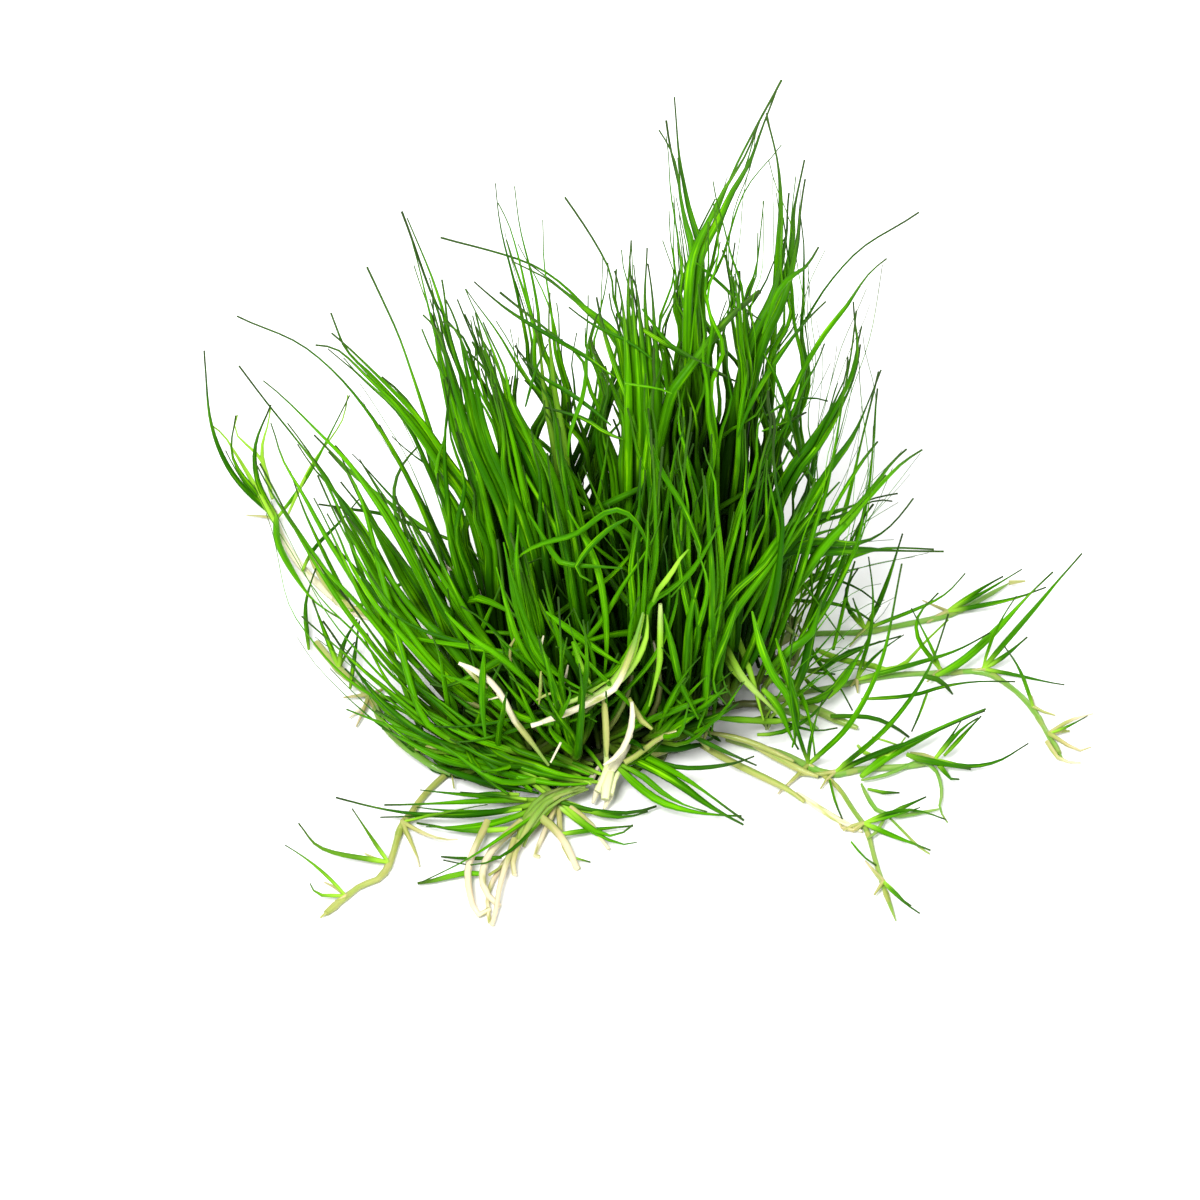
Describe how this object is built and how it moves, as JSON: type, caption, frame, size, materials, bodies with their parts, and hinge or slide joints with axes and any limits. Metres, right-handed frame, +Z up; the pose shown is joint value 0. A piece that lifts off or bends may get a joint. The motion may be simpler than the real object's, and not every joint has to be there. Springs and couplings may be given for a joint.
{
  "type": "dwarf hairgrass clump",
  "caption": "Picked clump of dwarf hairgrass: needle-thin green blades in leaning tufts on a flat root mat, with creeping runners, small plantlets and cut roots.",
  "frame": {"origin": "on the flat underside of the root mat, a little to the left and front of its middle", "axes": "+Z up from the surface that it rests on, +X to the side with the long right-hand runners, +Y to the back, the way the blades lean"},
  "size_m": [0.0745, 0.0585, 0.0485],
  "materials": {
    "blade": "wet, glossy",
    "runner": "wet, satin",
    "root_mat": "wet, fibrous"
  },
  "bodies": {
    "root": {"crest_tuft_01": "blade", "crest_tuft_02": "blade", "crest_tuft_03": "blade", "crest_tuft_04": "blade", "crest_tuft_05": "blade", "crest_tuft_06": "blade", "crest_tuft_07": "blade", "crest_tuft_08": "blade", "crest_tuft_09": "blade", "crest_tuft_10": "blade", "crest_tuft_11": "blade", "crest_tuft_12": "blade", "crest_tuft_13": "blade", "crest_tuft_14": "blade", "crest_tuft_15": "blade", "crest_tuft_16": "blade", "front_plantlet": "blade", "front_tuft_01": "blade", "front_tuft_02": "blade", "front_tuft_03": "blade", "front_tuft_04": "blade", "front_tuft_05": "blade", "front_tuft_06": "blade", "front_tuft_07": "blade", "front_tuft_08": "blade", "front_tuft_09": "blade", "front_tuft_10": "blade", "front_tuft_11": "blade", "front_tuft_12": "blade", "left_fan_01": "blade", "left_fan_02": "blade", "left_fan_03": "blade", "left_fan_04": "blade", "left_fan_05": "blade", "left_fan_06": "blade", "left_fan_07": "blade", "left_fan_08": "blade", "left_lock_01": "blade", "left_lock_02": "blade", "left_lock_03": "blade", "left_lock_04": "blade", "left_lock_05": "blade", "left_lock_06": "blade", "right_fan_01": "blade", "right_fan_02": "blade", "right_fan_03": "blade", "right_fan_04": "blade", "right_fan_05": "blade", "right_fan_06": "blade", "right_fan_07": "blade", "root_mat": "root_mat", "runner_front_left": "runner", "runner_left": "runner", "runner_left_low": "runner", "runner_right_front": "runner", "runner_right_lower": "runner", "runner_right_middle": "runner", "runner_right_upper": "runner"}
  },
  "joints": []
}
